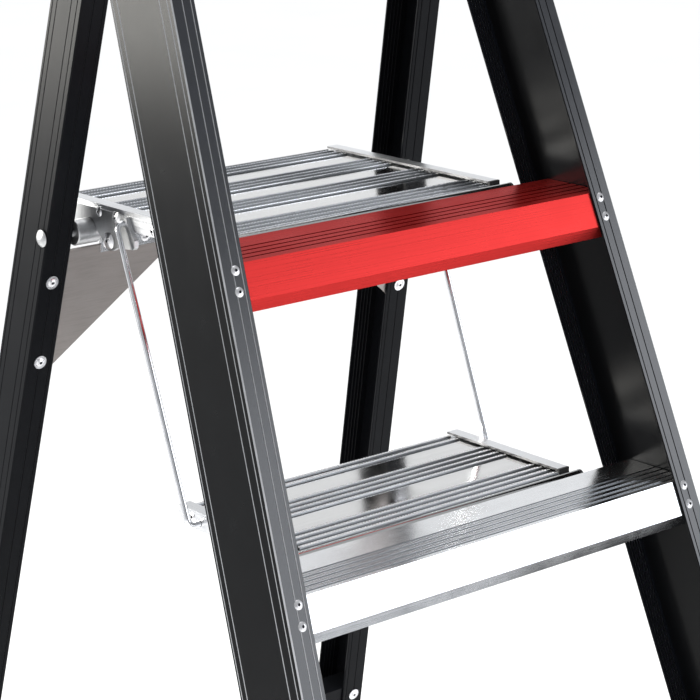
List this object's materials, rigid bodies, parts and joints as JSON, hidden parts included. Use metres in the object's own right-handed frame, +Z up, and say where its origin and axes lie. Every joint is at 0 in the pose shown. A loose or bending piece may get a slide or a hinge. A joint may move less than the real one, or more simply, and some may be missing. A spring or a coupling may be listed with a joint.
{
  "type": "step ladder",
  "caption": "Free-standing folding step ladder with a fold-up standing platform behind the top step, a shorter linked platform behind the step below, and a tool tray on the raised front stiles.",
  "frame": {"origin": "middle of the footprint on the floor, under the ladder's bounding box", "axes": "+Z up, +Y from the climber towards the rear frame, +X to the climber's right"},
  "size_m": [0.5814, 1.0352, 1.832],
  "materials": {
    "black_stile": "satin black coated extrusion",
    "red_step": "red anodised extrusion",
    "step_aluminium": "mill finish, finely brushed",
    "deck_aluminium": "mill finish with serrated ribs",
    "plate_aluminium": "dull rolled sheet",
    "gusset_metal": "warm grey rolled plate",
    "rivet_steel": "plain bright rivets",
    "zinc_steel": "bright zinc plated",
    "dark_steel": "black painted pressing",
    "black_plastic": "fine moulded grain",
    "tray_plastic": "moulded, fine grain",
    "white_nylon": "plain nylon",
    "sole_rubber": "ribbed rubber"
  },
  "bodies": {
    "rear_frame": {"bottom_cross_member": "black_stile", "gusset_left": "gusset_metal", "gusset_right": "gusset_metal", "middle_cross_member": "black_stile", "rear_rivets": "rivet_steel", "rear_shoe_left": "black_plastic", "rear_shoe_right": "black_plastic", "rear_sole_left": "sole_rubber", "rear_sole_right": "sole_rubber", "rear_stile_left": "black_stile", "rear_stile_right": "black_stile", "rest_stud_left": "deck_aluminium", "rest_stud_right": "deck_aluminium", "upper_cross_member": "deck_aluminium"},
    "front_frame": {"bracket_rivets": "rivet_steel", "front_shoe_left": "black_plastic", "front_shoe_right": "black_plastic", "front_sole_left": "sole_rubber", "front_sole_right": "sole_rubber", "front_stile_left": "black_stile", "front_stile_right": "black_stile", "hinge_bolts": "zinc_steel", "hinge_bracket_left": "dark_steel", "hinge_bracket_right": "dark_steel", "hinge_nuts": "zinc_steel", "hinge_washers": "white_nylon", "lower_hinge_ears": "plate_aluminium", "lower_hinge_pin": "zinc_steel", "lower_step": "step_aluminium", "red_step": "red_step", "step_1": "step_aluminium", "step_2": "step_aluminium", "step_3": "step_aluminium", "step_rivets": "rivet_steel", "step_spacers": "step_aluminium", "stile_cap_left": "black_plastic", "stile_cap_right": "black_plastic", "tool_tray": "tray_plastic", "tray_insert": "tray_plastic", "tray_screws": "zinc_steel", "upper_hinge_ears": "plate_aluminium", "upper_hinge_pin": "zinc_steel"},
    "upper_platform": {"hook_plate_left": "plate_aluminium", "hook_plate_right": "plate_aluminium", "upper_bar_left": "deck_aluminium", "upper_bar_plugs": "black_plastic", "upper_bar_right": "deck_aluminium", "upper_plank_front": "deck_aluminium", "upper_plank_middle": "deck_aluminium", "upper_plank_rear": "deck_aluminium", "upper_platform_rivets": "rivet_steel"},
    "link_rod_left_body": {"link_rod_left": "zinc_steel"},
    "link_rod_right_body": {"link_rod_right": "zinc_steel"},
    "lower_platform": {"lower_bar_left": "deck_aluminium", "lower_bar_plugs": "black_plastic", "lower_bar_right": "deck_aluminium", "lower_plank_front": "deck_aluminium", "lower_plank_rear": "deck_aluminium", "lower_platform_rivets": "rivet_steel"}
  },
  "joints": [
    {"name": "rear_frame_fold", "type": "hinge", "parent": "front_frame", "child": "rear_frame", "pos_m": [0, 0.1415, 1.424], "axis": [1, 0, 0], "range_deg": [-34.2, 0]},
    {"name": "upper_platform_lift", "type": "hinge", "parent": "front_frame", "child": "upper_platform", "pos_m": [0, 0.01204, 1.1965], "axis": [1, 0, 0], "range_deg": [0, 69.6]},
    {"name": "lower_platform_lift", "type": "hinge", "parent": "front_frame", "child": "lower_platform", "pos_m": [0, -0.07765, 0.9565], "axis": [1, 0, 0], "range_deg": [0, 69.6]},
    {"name": "link_rod_left_swing", "type": "hinge", "parent": "upper_platform", "child": "link_rod_left_body", "pos_m": [-0.155, 0.13454, 1.1945], "axis": [1, 0, 0], "range_deg": [-69.6, 0]},
    {"name": "link_rod_right_swing", "type": "hinge", "parent": "upper_platform", "child": "link_rod_right_body", "pos_m": [0.155, 0.13454, 1.1945], "axis": [1, 0, 0], "range_deg": [-69.6, 0]}
  ],
  "couplings": [
    {"joint": "upper_platform_lift", "follows": "rear_frame_fold", "ratio": -2.0322},
    {"joint": "lower_platform_lift", "follows": "rear_frame_fold", "ratio": -2.0322},
    {"joint": "link_rod_left_swing", "follows": "rear_frame_fold", "ratio": 2.0322},
    {"joint": "link_rod_right_swing", "follows": "rear_frame_fold", "ratio": 2.0322}
  ]
}
